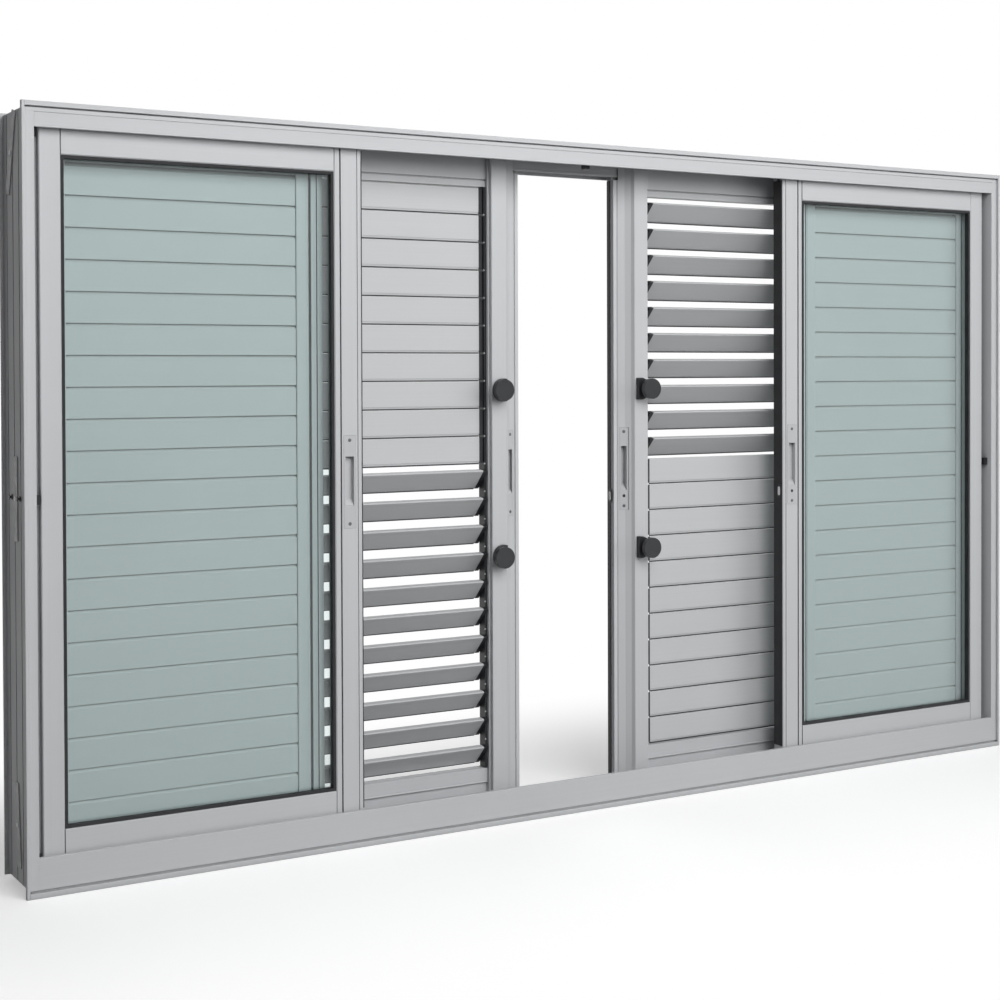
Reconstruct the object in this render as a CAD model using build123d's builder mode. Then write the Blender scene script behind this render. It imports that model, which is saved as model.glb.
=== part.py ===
from build123d import *
import os
from math import cos, radians, sin

os.makedirs("parts", exist_ok=True)

# Shuttered window, sizes in mm. x runs to the right as seen from the room, y from the room to the
# outside, z up. The origin is the middle of the frame at floor level. Distances called "out" are
# measured from the middle of the window towards either end, and "deep" from the face flange
# backwards, so the lip in front of the flange has a negative depth.

# overall frame
frame_width = 2050.0
frame_height = 1200.0
frame_depth = 125.0
lip_proud = 4.5
half_width = frame_width / 2
middle_depth = (frame_depth - lip_proud) / 2

# frame profiles, heights called "drop" are measured down from the top of the frame
face_wall = 3.0
face_return = 7.0
jamb_width = 20.0
jamb_inset = 5.5
jamb_wall = 2.5
jamb_groove_wide = 4.0
jamb_groove_deep = 1.0
jamb_groove_starts = (32.0, 66.0, 100.0)
jamb_rear_low = 8.0
jamb_lip_wide = 5.0
lip_round = 0.8
head_lip_high = 7.6
head_groove_high = 1.8
head_line_drop = 15.4
head_line_high = 1.2
head_line_deep = 0.7
head_face_high = 38.0
head_web_drop = 8.0
head_rear_high = 47.2
rear_top_drop = 4.0
web_thick = 3.0
sill_lip_high = 8.5
sill_groove_high = 3.0
groove_deep = 1.8
sill_face_high = 60.0
sill_web_low = 13.0
sill_rear_high = 24.0

# tracks
glass_rail_deep = 28.5
shutter_rail_deep = 91.5
rail_wall = 2.0
bead_wide = 4.0
bead_high = 4.0
head_glass_rail_drop = 33.0
head_shutter_rail_drop = 44.5
head_rib_drop = 30.0
sill_glass_rail_high = 40.0
sill_shutter_rail_high = 30.0
sill_rib_high = 34.0
rib_a_deep = 42.4
rib_a_wall = 1.4
rib_b_deep = 66.5
guide_reach = 12.6
guide_head_gap = 12.0
rail_play = 3.2

# glass sashes
sash_front = 16.0
sash_back = 42.0
sash_side_gap = 11.0
sash_wide = 540.0
sash_outer_wide = 34.0
sash_handle_wide = 50.0
sash_foot_gap = 16.0
sash_head_gap = 11.0
sash_bottom_high = 63.0
sash_top_high = 54.5
sash_slot_rise = 5.0
guide_groove_deep = 5.0
glass_edge_slope = 2.2
bar_edge_slope = 1.2
wide_groove = (10.0, 12.8, 3.5)
narrow_groove = (41.5, 43.0, 1.2)
pane_front = 27.0
pane_thick = 4.0
pane_gap = 0.3
pane_bite = 6.0
gasket_wide = 4.5
gasket_front = 17.0

# fixed shutters
fixed_front = 44.1
fixed_back = 66.2
fixed_jamb_gap = 0.3
fixed_wide = 492.7
fixed_outer_wide = 58.2
fixed_inner_wide = 48.0
fixed_slat_face = 46.5
fixed_first_edge = 79.2
fixed_bottom_gap = 2.0
fixed_end_gap = 0.3

# sliding shutters, each drawn back a little differently from the middle
lead_outs = {-1: 103.7, 1: 105.7}
leaf_wide = 533.0
leaf_outer_wide = 29.5
leaf_front = 72.0
leaf_back = 108.0
leaf_foot_gap = 6.0
leaf_head_gap = 13.0
leaf_slot_rise = 5.5
leaf_first_edge = 83.2
leaf_bottom_gap = 2.8
leaf_rail_front = 84.0
leaf_rail_back = 106.0

# meeting stile of a sliding shutter, measured outwards from its leading edge
lip_deep = 88.0
lip_wide = 6.5
lip_groove_end = 10.0
slope_low = (22.3, 83.0)
slope_high = (31.8, 76.0)
knob_face_start = 35.5
knob_face_end = 66.0
knob_face_deep = 70.0
knob_face_slope = 0.8
ledge_end = 69.5
ledge_deep = 78.0

# slats, their end caps and the strips that carry their pins
slat_pitch = 49.44
slat_play = 1.32
rail_least = 45.0
slat_open = 45.0
pin_deep = 95.0
pin_wide = 5.0
pin_long = 3.2
pin_hole_wide = 7.6
pin_hole_deep = 3.2
strip_front = 84.0
strip_back = 104.0
strip_wide = 4.0
strip_gap = 0.2
cap_wide = 8.0
end_gap = 0.4
seal_high = 2.2
seal_short = 0.5
lip_gap = 0.5

# flush pulls, knobs, seals, straps and stops
pull_wide = 22.0
pull_low = 531.0
pull_high = 686.0
pull_thick = 1.2
pull_proud = 0.2
pull_gap = 0.2
pocket_wide = 15.5
pocket_low = 568.0
pocket_high = 651.0
pocket_deep = 8.6
pocket_ramp = 12.0
pocket_over = 5.0
leaf_pull_start = 12.5
leaf_pull_end = 27.8
leaf_pocket_start = 15.0
leaf_pocket_end = 25.0
leaf_pocket_deep = 92.5
knob_heights = {"lower": 461.0, "upper": 759.0}
knob_disc_radius = 19.0
knob_disc_front = 40.5
knob_disc_thick = 9.0
knob_neck_wide = 15.0
knob_middle = 56.0
base_start = 39.0
base_middle = 44.5
base_radius = 20.5
base_front = 61.0
seal_thick = 1.8
leaf_seal_front = 98.0
seal_end_gap = 1.0
seal_foot_gap = 8.0
stop_long = 8.0
stop_wide = 9.0
stop_high = 14.0
centre_stop_wide = 12.0
centre_stop_high = 32.0
strap_thick = 1.5
strap_wide = 20.0
strap_long = 130.0
strap_corner = 2.0

# where the frame's parts meet
inner_out = half_width - jamb_width
wall_out = half_width - jamb_inset
lip_out = half_width - jamb_lip_wide
rear_wall_deep = frame_depth - face_wall
head_face_low = frame_height - head_face_high
head_web_high = frame_height - head_web_drop
head_web_low = head_web_high - web_thick
head_rear_low = frame_height - head_rear_high
head_band_low = frame_height - head_line_drop
head_groove_top = frame_height - head_lip_high
rear_top = frame_height - rear_top_drop
head_glass_rail_low = frame_height - head_glass_rail_drop
head_shutter_rail_low = frame_height - head_shutter_rail_drop
head_rib_low = frame_height - head_rib_drop
sill_web_high = sill_web_low + web_thick
sill_band_high = sill_lip_high + sill_groove_high


def at_x(out, side):
    return side * out


def at_y(deep):
    return deep - middle_depth


def soften(drawn, rounded, sloped):
    # Rounds or slopes the corners of a profile that lie at the given places.
    for first, second, size in rounded:
        fillet(drawn.vertices().sort_by_distance((first, second, 0))[0], size)
    for first, second, size in sloped:
        chamfer(drawn.vertices().sort_by_distance((first, second, 0))[0], size)


def bar_across(points, start, stop, rounded=(), sloped=(), mode=Mode.ADD):
    # Sweeps a profile of (deep, height) points along x from start to stop.
    with BuildSketch(Plane((start, 0, 0), x_dir=(0, 1, 0), z_dir=(1, 0, 0))) as drawn:
        with BuildLine():
            Polyline(*[(at_y(deep), high) for deep, high in points], close=True)
        make_face()
        corners = [[(at_y(deep), high, size) for deep, high, size in group] for group in (rounded, sloped)]
        soften(drawn, *corners)
    extrude(drawn.sketch, amount=stop - start, mode=mode)


def bars_across(profiles, start, stop):
    # Sweeps several separate profiles at once, which come out as separate solids.
    with BuildSketch(Plane((start, 0, 0), x_dir=(0, 1, 0), z_dir=(1, 0, 0))) as drawn:
        for points in profiles:
            with BuildLine():
                Polyline(*[(at_y(deep), high) for deep, high in points], close=True)
            make_face()
    extrude(drawn.sketch, amount=stop - start)


def bar_upright(points, side, low, high, rounded=(), sloped=(), mode=Mode.ADD):
    # Sweeps a profile of (out, deep) points upwards from low to high.
    with BuildSketch(Plane((0, 0, low))) as drawn:
        with BuildLine():
            Polyline(*[(at_x(out, side), at_y(deep)) for out, deep in points], close=True)
        make_face()
        corners = []
        for group in (rounded, sloped):
            corners.append([(at_x(out, side), at_y(deep), size) for out, deep, size in group])
        soften(drawn, *corners)
    extrude(drawn.sketch, amount=high - low, mode=mode)


def block(side, outs, deeps, heights, mode=Mode.ADD):
    # A plain box between two outs, two depths and two heights.
    with Locations((at_x(sum(outs) / 2, side), at_y(sum(deeps) / 2), sum(heights) / 2)):
        Box(abs(outs[1] - outs[0]), deeps[1] - deeps[0], heights[1] - heights[0], mode=mode)


def ends_of(side, outs):
    return sorted((at_x(outs[0], side), at_x(outs[1], side)))


def keep(name, made):
    made.part.label = name
    export_step(made.part, "parts/" + name + ".step")


def rail_points(deep, root, tip, direction):
    # Points of one track rail with its bead, from the root to the tip and back.
    near, far = deep - rail_wall / 2, deep + rail_wall / 2
    bead_near, bead_far = deep - bead_wide / 2, deep + bead_wide / 2
    bead_root = tip - direction * bead_high
    points = [(near, root), (near, bead_root), (bead_near, bead_root), (bead_near, tip)]
    points += [(bead_far, tip), (bead_far, bead_root), (far, bead_root), (far, root)]
    return points


def rib_points(deep, wall, root, tip):
    return [(deep, root), (deep, tip), (deep + wall, tip), (deep + wall, root)]


def track_points(root, glass_tip, shutter_tip, rib_tip, direction):
    # Both rails and both ribs of the head or the sill, from the room outwards.
    points = rail_points(glass_rail_deep, root, glass_tip, direction)
    points += rib_points(rib_a_deep, rib_a_wall, root, rib_tip)
    points += rib_points(rib_b_deep, rail_wall, root, rib_tip)
    return points + rail_points(shutter_rail_deep, root, shutter_tip, direction)


def clear_over_jambs(low, high):
    # Leaves only the front band of the head or sill where it runs over the jambs.
    for side in (-1, 1):
        over = (inner_out, lip_out)
        block(side, over, (-lip_proud, frame_depth), (low, high), Mode.SUBTRACT)
        block(side, over, (face_wall, frame_depth), (0, frame_height), Mode.SUBTRACT)


# Head of the frame. Its main part fits between the jambs, and its lip runs over them.
head_points = [(0, head_face_low), (0, head_band_low - head_line_high)]
head_points += [(head_line_deep, head_band_low - head_line_high), (head_line_deep, head_band_low)]
head_points += [(0, head_band_low), (0, head_groove_top - head_groove_high)]
head_points += [(groove_deep, head_groove_top - head_groove_high), (groove_deep, head_groove_top)]
head_points += [(-lip_proud, head_groove_top), (-lip_proud, frame_height), (face_wall, frame_height)]
head_points += [(face_wall, head_web_high), (rear_wall_deep, head_web_high), (rear_wall_deep, rear_top)]
head_points += [(frame_depth, rear_top), (frame_depth, head_rear_low), (rear_wall_deep, head_rear_low)]
head_points += [(rear_wall_deep, head_web_low)]
tracks = track_points(head_web_low, head_glass_rail_low, head_shutter_rail_low, head_rib_low, -1)
head_points += tracks[::-1]
head_points += [(face_wall, head_web_low), (face_wall, head_face_low + face_wall)]
head_points += [(face_return, head_face_low + face_wall), (face_return, head_face_low)]
with BuildPart() as frame_head:
    edges = [(-lip_proud, frame_height, lip_round), (-lip_proud, head_groove_top, lip_round)]
    bar_across(head_points, -lip_out, lip_out, rounded=edges)
    clear_over_jambs(0, head_band_low)
keep("frame_head", frame_head)

# Sill of the frame, made like the head.
sill_points = [(-lip_proud, 0), (face_wall, 0), (face_wall, sill_web_low), (rear_wall_deep, sill_web_low)]
sill_points += [(rear_wall_deep, 0), (frame_depth, 0), (frame_depth, sill_rear_high)]
sill_points += [(rear_wall_deep, sill_rear_high), (rear_wall_deep, sill_web_high)]
tracks = track_points(sill_web_high, sill_glass_rail_high, sill_shutter_rail_high, sill_rib_high, 1)
sill_points += tracks[::-1]
sill_points += [(face_wall, sill_web_high), (face_wall, sill_face_high - face_wall)]
sill_points += [(face_return, sill_face_high - face_wall), (face_return, sill_face_high)]
sill_points += [(0, sill_face_high), (0, sill_band_high), (groove_deep, sill_band_high)]
sill_points += [(groove_deep, sill_lip_high), (-lip_proud, sill_lip_high)]
with BuildPart() as frame_sill:
    edges = [(-lip_proud, sill_lip_high, lip_round), (0, sill_face_high, lip_round)]
    bar_across(sill_points, -lip_out, lip_out, rounded=edges)
    clear_over_jambs(sill_band_high, frame_height)
keep("frame_sill", frame_sill)

# Jambs: a hollow box with a face flange, an outer lip, a rear lip, outside grooves and guide ribs.
for side, name in ((-1, "frame_jamb_left"), (1, "frame_jamb_right")):
    with BuildPart() as frame_jamb:
        face = [(inner_out, 0), (inner_out, face_wall), (half_width, face_wall), (half_width, -lip_proud)]
        face += [(lip_out, -lip_proud), (lip_out, 0)]
        edges = [(half_width, -lip_proud, lip_round), (lip_out, -lip_proud, lip_round)]
        bar_upright(face, side, 0, frame_height, rounded=edges)
        for heights in ((0, sill_band_high), (head_band_low, frame_height)):
            block(side, (inner_out, lip_out), (0, face_wall), heights, Mode.SUBTRACT)
        body = [(inner_out, face_wall), (inner_out, rear_wall_deep), (wall_out, rear_wall_deep)]
        for start in jamb_groove_starts[::-1]:
            end = start + jamb_groove_wide
            body += [(wall_out, end), (wall_out - jamb_groove_deep, end)]
            body += [(wall_out - jamb_groove_deep, start), (wall_out, start)]
        body += [(wall_out, face_wall)]
        bar_upright(body, side, sill_band_high, head_web_high)
        rear = (rear_wall_deep, frame_depth)
        block(side, (inner_out, half_width), rear, (jamb_rear_low, rear_top))
        outs = (inner_out + jamb_wall, wall_out - jamb_groove_deep - jamb_wall)
        deeps = (2 * face_wall, rear_wall_deep - face_wall)
        block(side, outs, deeps, (sill_band_high, head_web_high), Mode.SUBTRACT)
        for deep in (glass_rail_deep, shutter_rail_deep):
            rib = (deep - rail_wall / 2, deep + rail_wall / 2)
            heights = (sill_face_high, head_face_low - guide_head_gap)
            block(side, (inner_out - guide_reach, inner_out), rib, heights)
    keep(name, frame_jamb)

# Fixing straps on the outside of the jambs, some of them swung round a little on their rivet.
strap_places = ((75.0, frame_height - 70.0, 17.0), (60.0, frame_height / 2, 0.0), (60.0, 99.0, -6.0))
with BuildPart() as frame_straps:
    for side in (-1, 1):
        for deep, high, lean in strap_places:
            wall = Plane((at_x(wall_out, side), at_y(deep), high), x_dir=(0, 1, 0), z_dir=(side, 0, 0))
            with BuildSketch(wall) as drawn:
                Rectangle(strap_wide, strap_long, rotation=side * lean)
                chamfer(drawn.vertices(), strap_corner)
            extrude(drawn.sketch, amount=strap_thick)
keep("frame_straps", frame_straps)

# Rubber stops on the jambs and under the head.
with BuildPart() as frame_stops:
    for side in (-1, 1):
        for deep in (sash_front, shutter_rail_deep + sash_front):
            outs = (inner_out - stop_long, inner_out)
            deeps = (deep - stop_wide / 2, deep + stop_wide / 2)
            heights = ((frame_height - stop_high) / 2, (frame_height + stop_high) / 2)
            block(side, outs, deeps, heights)
    stop_deeps = (glass_rail_deep - bead_wide / 2 - stop_wide, glass_rail_deep - bead_wide / 2)
    heights = (head_web_low - centre_stop_high, head_web_low)
    block(1, (-centre_stop_wide / 2, centre_stop_wide / 2), stop_deeps, heights)
keep("frame_stops", frame_stops)

# Glass sashes, both slid to their ends of the window.
sash_low = sill_web_high + sash_foot_gap
sash_high = head_web_low - sash_head_gap
glass_low = sash_low + sash_bottom_high
glass_high = sash_high - sash_top_high
sash_outer_out = inner_out - sash_side_gap
sash_lead_out = sash_outer_out - sash_wide
glass_start = sash_lead_out + sash_handle_wide
glass_end = sash_outer_out - sash_outer_wide
pane_back = pane_front + pane_thick
rebate = (pane_front - pane_gap, pane_back + pane_gap)
slot_half = (bead_wide + rail_play) / 2
sash_slot = (glass_rail_deep - slot_half, glass_rail_deep + slot_half)
sash_slot_low = head_glass_rail_low - sash_slot_rise
pull_middle = glass_start - (wide_groove[1] + narrow_groove[0]) / 2
pocket = (pull_middle - pocket_wide / 2, pull_middle + pocket_wide / 2)


def cut_slots(side, outs, slot, low, sill_tip, head_tip, high):
    # Cuts the two slots of a stile that its head and sill rails run in.
    reach = (outs[0] - 1, outs[1] + 1)
    block(side, reach, slot, (head_tip, high + 1), Mode.SUBTRACT)
    block(side, reach, slot, (low - 1, sill_tip), Mode.SUBTRACT)


def finger_pocket(side, outs, front, back):
    # Cuts a finger pocket whose lower end slopes back out.
    points = [(front, pocket_low), (back, pocket_low + pocket_ramp), (back, pocket_high)]
    points += [(front, pocket_high), (front - pocket_over, pocket_high), (front - pocket_over, pocket_low)]
    bar_across(points, *ends_of(side, outs), mode=Mode.SUBTRACT)


for side, word in ((-1, "left"), (1, "right")):
    with BuildPart() as sash_outer_stile:
        stile = [(sash_outer_out, sash_front), (glass_end, sash_front), (glass_end, rebate[0])]
        stile += [(glass_end + pane_bite, rebate[0]), (glass_end + pane_bite, rebate[1])]
        stile += [(glass_end, rebate[1]), (glass_end, sash_back), (sash_outer_out, sash_back)]
        stile += [(sash_outer_out, sash_slot[1]), (sash_outer_out - guide_groove_deep, sash_slot[1])]
        stile += [(sash_outer_out - guide_groove_deep, sash_slot[0]), (sash_outer_out, sash_slot[0])]
        edges = [(glass_end, sash_front, glass_edge_slope), (sash_outer_out, sash_front, bar_edge_slope)]
        bar_upright(stile, side, sash_low, sash_high, sloped=edges)
        outs = (glass_end, sash_outer_out)
        cut_slots(side, outs, sash_slot, sash_low, sill_glass_rail_high, sash_slot_low, sash_high)
    keep("sash_" + word + "_outer_stile", sash_outer_stile)

    with BuildPart() as sash_handle_stile:
        stile = [(glass_start, sash_front)]
        for start, end, deep in (narrow_groove, wide_groove):
            far, near = glass_start - start, glass_start - end
            stile += [(far, sash_front), (far, sash_front + deep)]
            stile += [(near, sash_front + deep), (near, sash_front)]
        stile = stile[:1] + stile[5:] + stile[1:5]
        stile += [(sash_lead_out, sash_front), (sash_lead_out, sash_back), (glass_start, sash_back)]
        stile += [(glass_start, rebate[1]), (glass_start - pane_bite, rebate[1])]
        stile += [(glass_start - pane_bite, rebate[0]), (glass_start, rebate[0])]
        edges = [(glass_start, sash_front, glass_edge_slope), (sash_lead_out, sash_front, bar_edge_slope)]
        bar_upright(stile, side, sash_low, sash_high, sloped=edges)
        outs = (sash_lead_out, glass_start)
        cut_slots(side, outs, sash_slot, sash_low, sill_glass_rail_high, sash_slot_low, sash_high)
        plate = (pull_middle - pull_wide / 2 - pull_gap, pull_middle + pull_wide / 2 + pull_gap)
        deeps = (sash_front - 1, sash_front + pull_thick - pull_proud)
        block(side, plate, deeps, (pull_low - pull_gap, pull_high + pull_gap), Mode.SUBTRACT)
        finger_pocket(side, pocket, sash_front, sash_front + pocket_deep)
    keep("sash_" + word + "_handle_stile", sash_handle_stile)

    ends = ends_of(side, (glass_start, glass_end))
    with BuildPart() as sash_top_rail:
        top = [(sash_front, glass_high), (sash_front, sash_high), (sash_slot[0], sash_high)]
        top += [(sash_slot[0], sash_slot_low), (sash_slot[1], sash_slot_low), (sash_slot[1], sash_high)]
        top += [(sash_back, sash_high), (sash_back, glass_high), (rebate[1], glass_high)]
        top += [(rebate[1], glass_high + pane_bite), (rebate[0], glass_high + pane_bite)]
        top += [(rebate[0], glass_high)]
        bar_across(top, *ends, sloped=[(sash_front, glass_high, glass_edge_slope)])
    keep("sash_" + word + "_top_rail", sash_top_rail)

    with BuildPart() as sash_bottom_rail:
        low = [(sash_front, sash_low), (sash_front, glass_low), (rebate[0], glass_low)]
        low += [(rebate[0], glass_low - pane_bite), (rebate[1], glass_low - pane_bite)]
        low += [(rebate[1], glass_low), (sash_back, glass_low), (sash_back, sash_low)]
        low += [(sash_slot[1], sash_low), (sash_slot[1], sill_glass_rail_high)]
        low += [(sash_slot[0], sill_glass_rail_high), (sash_slot[0], sash_low)]
        bar_across(low, *ends, sloped=[(sash_front, glass_low, glass_edge_slope)])
    keep("sash_" + word + "_bottom_rail", sash_bottom_rail)

    with BuildPart() as sash_pane:
        bite = pane_bite - pane_gap
        outs = (glass_start - bite, glass_end + bite)
        block(side, outs, (pane_front, pane_back), (glass_low - bite, glass_high + bite))
    keep("sash_" + word + "_pane", sash_pane)

    with BuildPart() as sash_gasket:
        front = Plane((0, at_y(pane_front), 0), x_dir=(1, 0, 0), z_dir=(0, -1, 0))
        with BuildSketch(front) as drawn:
            with Locations((sum(ends) / 2, (glass_low + glass_high) / 2)):
                Rectangle(glass_end - glass_start, glass_high - glass_low)
            offset(amount=-gasket_wide, mode=Mode.SUBTRACT)
        extrude(drawn.sketch, amount=pane_front - gasket_front)
    keep("sash_" + word + "_gasket", sash_gasket)

    with BuildPart() as sash_pull:
        plate = (pull_middle - pull_wide / 2, pull_middle + pull_wide / 2)
        deeps = (sash_front - pull_proud, sash_front - pull_proud + pull_thick)
        block(side, plate, deeps, (pull_low, pull_high))
        finger_pocket(side, pocket, sash_front, sash_front + pocket_deep)
    keep("sash_" + word + "_pull", sash_pull)

# Slats. A profile is a list of (deep, height) points from the pin, with the face in front of it.
slat_half = slat_pitch / 2 - slat_play
slat_face = 7.0
slat_back = 4.5
leaf_low = sill_web_high + leaf_foot_gap
leaf_high = head_web_low - leaf_head_gap
slat_count = int((leaf_high - leaf_first_edge - rail_least) / slat_pitch)
lower_count = (slat_count + 1) // 2

# The turning slat: a flat face, a hem that a seal is pushed on below, and a sloping back above.
turning_profile = [(-slat_face, -slat_half + 3.2), (-slat_face, slat_half - 1), (1 - slat_face, slat_half)]
turning_profile += [(-slat_back, slat_half), (slat_back, slat_half - 6.7), (slat_back, -slat_back)]
turning_profile += [(-3.2, -slat_half + 4.2), (-3.2, -slat_half), (-5.6, -slat_half)]
turning_profile += [(-6.3, -slat_half + 3.2)]
cap_profile = [(0.2 - slat_face, 0.6 - slat_half), (0.2 - slat_face, slat_half - 0.6)]
cap_profile += [(slat_back - 0.2, slat_half - 6.8), (slat_back - 0.2, -slat_back), (-3.2, 0.6 - slat_half)]
seal_profile = [(-5.8, -slat_half - seal_high), (-5.8, -slat_half), (-3.3, -slat_half)]
seal_profile += [(-3.3, -slat_half - seal_high)]
pin_profile = [(-pin_wide / 2, -pin_wide / 2), (-pin_wide / 2, pin_wide / 2), (pin_wide / 2, pin_wide / 2)]
pin_profile += [(pin_wide / 2, -pin_wide / 2)]

# The fixed slat: a plate with a sloping top lip behind the slat above.
fixed_profile = [(-slat_face, -slat_half - 2.2), (-slat_face, slat_half - 5.2), (-6.1, slat_half - 4.2)]
fixed_profile += [(-1.6, slat_half + 1.5), (0.4, slat_half + 1.5)]
fixed_profile += [(-4.0, slat_half - 4.8), (-4.0, 6.4 - slat_half), (-5.2, 4.4 - slat_half)]
fixed_profile += [(-5.2, -slat_half - 2.2)]


def turned(profile, deep, height, tilt):
    # Places a profile with its pin at the given depth and height, turned about the pin.
    turn = radians(tilt)
    points = []
    for ahead, up in profile:
        back = deep + ahead * cos(turn) - up * sin(turn)
        points.append((back, height + ahead * sin(turn) + up * cos(turn)))
    return points


# Fixed shutters behind the sashes.
fixed_outer_out = inner_out - fixed_jamb_gap
fixed_inner_out = fixed_outer_out - fixed_wide
fixed_slat_in = fixed_inner_out + fixed_inner_wide
fixed_slat_out = fixed_outer_out - fixed_outer_wide
fixed_top_edge = fixed_first_edge + slat_count * slat_pitch + lip_gap
for side, word in ((-1, "left"), (1, "right")):
    with BuildPart() as fixed_outer_stile:
        outs = (fixed_slat_out, fixed_outer_out)
        block(side, outs, (fixed_front, fixed_back), (sill_web_high, head_web_low))
    keep("fixed_" + word + "_outer_stile", fixed_outer_stile)

    with BuildPart() as fixed_inner_stile:
        stile = [(0, 2.4), (4, 2.4), (4, 0), (10.5, 0), (10.5, 2.9), (12.5, 2.9), (12.5, 0), (21.5, 0)]
        stile += [(21.5, 7.9), (25.5, 7.9), (25.5, 1.9), (29, 0), (46, 0), (48, 0.6)]
        points = [(fixed_inner_out + out, fixed_front + deep) for out, deep in stile]
        points += [(fixed_slat_in, fixed_back), (fixed_inner_out, fixed_back)]
        bar_upright(points, side, sill_web_high, head_web_low)
    keep("fixed_" + word + "_inner_stile", fixed_inner_stile)

    ends = ends_of(side, (fixed_slat_in, fixed_slat_out))
    outs = (fixed_slat_in, fixed_slat_out)
    with BuildPart() as fixed_top_rail:
        block(side, outs, (fixed_front, fixed_back), (fixed_top_edge, head_web_low))
    keep("fixed_" + word + "_top_rail", fixed_top_rail)

    with BuildPart() as fixed_bottom_rail:
        heights = (sill_web_high, fixed_first_edge - fixed_bottom_gap)
        block(side, outs, (fixed_front, fixed_back), heights)
    keep("fixed_" + word + "_bottom_rail", fixed_bottom_rail)

    with BuildPart() as fixed_slats:
        heights = [fixed_first_edge + (index + 0.5) * slat_pitch for index in range(slat_count)]
        slats = [turned(fixed_profile, fixed_slat_face + slat_face, height, 0) for height in heights]
        bars_across(slats, ends[0] + fixed_end_gap, ends[1] - fixed_end_gap)
    keep("fixed_" + word + "_slats", fixed_slats)

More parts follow.
